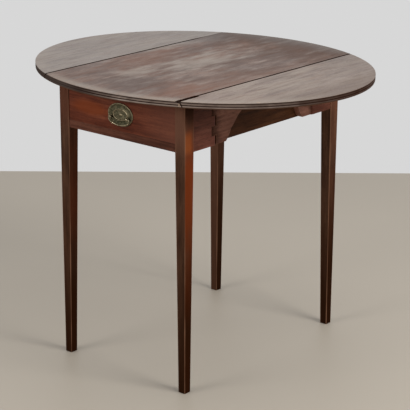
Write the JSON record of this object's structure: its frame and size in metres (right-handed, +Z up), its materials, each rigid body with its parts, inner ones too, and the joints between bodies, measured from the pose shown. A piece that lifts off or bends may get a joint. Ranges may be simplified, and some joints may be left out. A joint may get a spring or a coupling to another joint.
{
  "type": "pembroke table",
  "caption": "Oval drop-leaf side table on slim tapered legs, with hinged leaves on rule joints, swinging wooden fly brackets and an end drawer with an oval brass bail handle.",
  "frame": {"origin": "floor level, under the middle of the oval top", "axes": "+Z up; the drawer opens towards -Y; the leaves open towards +X and -X"},
  "size_m": [0.877, 0.75, 0.72],
  "materials": {
    "top_mahogany": "old faded polish",
    "leg_mahogany": "old dark polish",
    "rail_mahogany": "old dark polish",
    "inner_rail_wood": "stained and worn",
    "drawer_mahogany": "old red-brown polish",
    "plain_oak": "unpolished, aged",
    "aged_brass": "tarnished",
    "dark_iron": "dull, aged"
  },
  "bodies": {
    "frame": {"leg_front_right": "leg_mahogany", "leg_front_left": "leg_mahogany", "leg_back_right": "leg_mahogany", "leg_back_left": "leg_mahogany", "side_rail_right": "inner_rail_wood", "side_rail_left": "inner_rail_wood", "back_rail": "rail_mahogany", "drawer_rail": "rail_mahogany", "top_rail": "rail_mahogany", "fly_block_front_right": "rail_mahogany", "fly_block_front_left": "rail_mahogany", "fly_block_back_right": "rail_mahogany", "fly_block_back_left": "rail_mahogany", "fly_pins": "dark_iron", "centre_top": "top_mahogany", "runner_right": "plain_oak", "runner_left": "plain_oak", "kicker_right": "plain_oak", "kicker_left": "plain_oak", "drawer_stops": "plain_oak", "glue_blocks": "plain_oak", "top_screws": "dark_iron", "hinge_top_flaps_right": "dark_iron", "hinge_pins_right": "dark_iron", "hinge_top_screws_right": "dark_iron", "hinge_top_flaps_left": "dark_iron", "hinge_pins_left": "dark_iron", "hinge_top_screws_left": "dark_iron"},
    "right_leaf": {"leaf_right": "top_mahogany", "hinge_leaf_flaps_right": "dark_iron", "hinge_leaf_screws_right": "dark_iron"},
    "left_leaf": {"leaf_left": "top_mahogany", "hinge_leaf_flaps_left": "dark_iron", "hinge_leaf_screws_left": "dark_iron"},
    "front_right_fly": {"fly_front_right": "rail_mahogany"},
    "front_left_fly": {"fly_front_left": "rail_mahogany"},
    "back_right_fly": {"fly_back_right": "rail_mahogany"},
    "back_left_fly": {"fly_back_left": "rail_mahogany"},
    "drawer": {"drawer_front": "drawer_mahogany", "drawer_side_right": "plain_oak", "drawer_side_left": "plain_oak", "drawer_back": "plain_oak", "drawer_bottom": "plain_oak", "handle_plate": "aged_brass", "handle_posts": "aged_brass", "handle_nuts": "aged_brass"},
    "bail": {"handle_bail": "aged_brass"}
  },
  "joints": [
    {"name": "right_leaf_drop", "type": "hinge", "parent": "frame", "child": "right_leaf", "pos_m": [0.2062, 0, 0.7075], "axis": [0, -1, 0], "range_deg": [-90, 0]},
    {"name": "left_leaf_drop", "type": "hinge", "parent": "frame", "child": "left_leaf", "pos_m": [-0.2062, 0, 0.7075], "axis": [0, 1, 0], "range_deg": [-90, 0]},
    {"name": "front_right_fly_swing", "type": "hinge", "parent": "frame", "child": "front_right_fly", "pos_m": [0.18865, -0.1917, 0.65], "axis": [0, 0, -1], "range_deg": [0, 90]},
    {"name": "front_left_fly_swing", "type": "hinge", "parent": "frame", "child": "front_left_fly", "pos_m": [-0.18865, -0.1917, 0.65], "axis": [0, 0, 1], "range_deg": [0, 90]},
    {"name": "back_right_fly_swing", "type": "hinge", "parent": "frame", "child": "back_right_fly", "pos_m": [0.18865, 0.1917, 0.65], "axis": [0, 0, 1], "range_deg": [0, 90]},
    {"name": "back_left_fly_swing", "type": "hinge", "parent": "frame", "child": "back_left_fly", "pos_m": [-0.18865, 0.1917, 0.65], "axis": [0, 0, -1], "range_deg": [0, 90]},
    {"name": "drawer_slide", "type": "slide", "parent": "frame", "child": "drawer", "axis": [0, 1, 0], "range_m": [-0.32, 0]},
    {"name": "bail_lift", "type": "hinge", "parent": "drawer", "child": "bail", "pos_m": [0, -0.3002, 0.64075], "axis": [1, 0, 0], "range_deg": [-95, 0]}
  ]
}
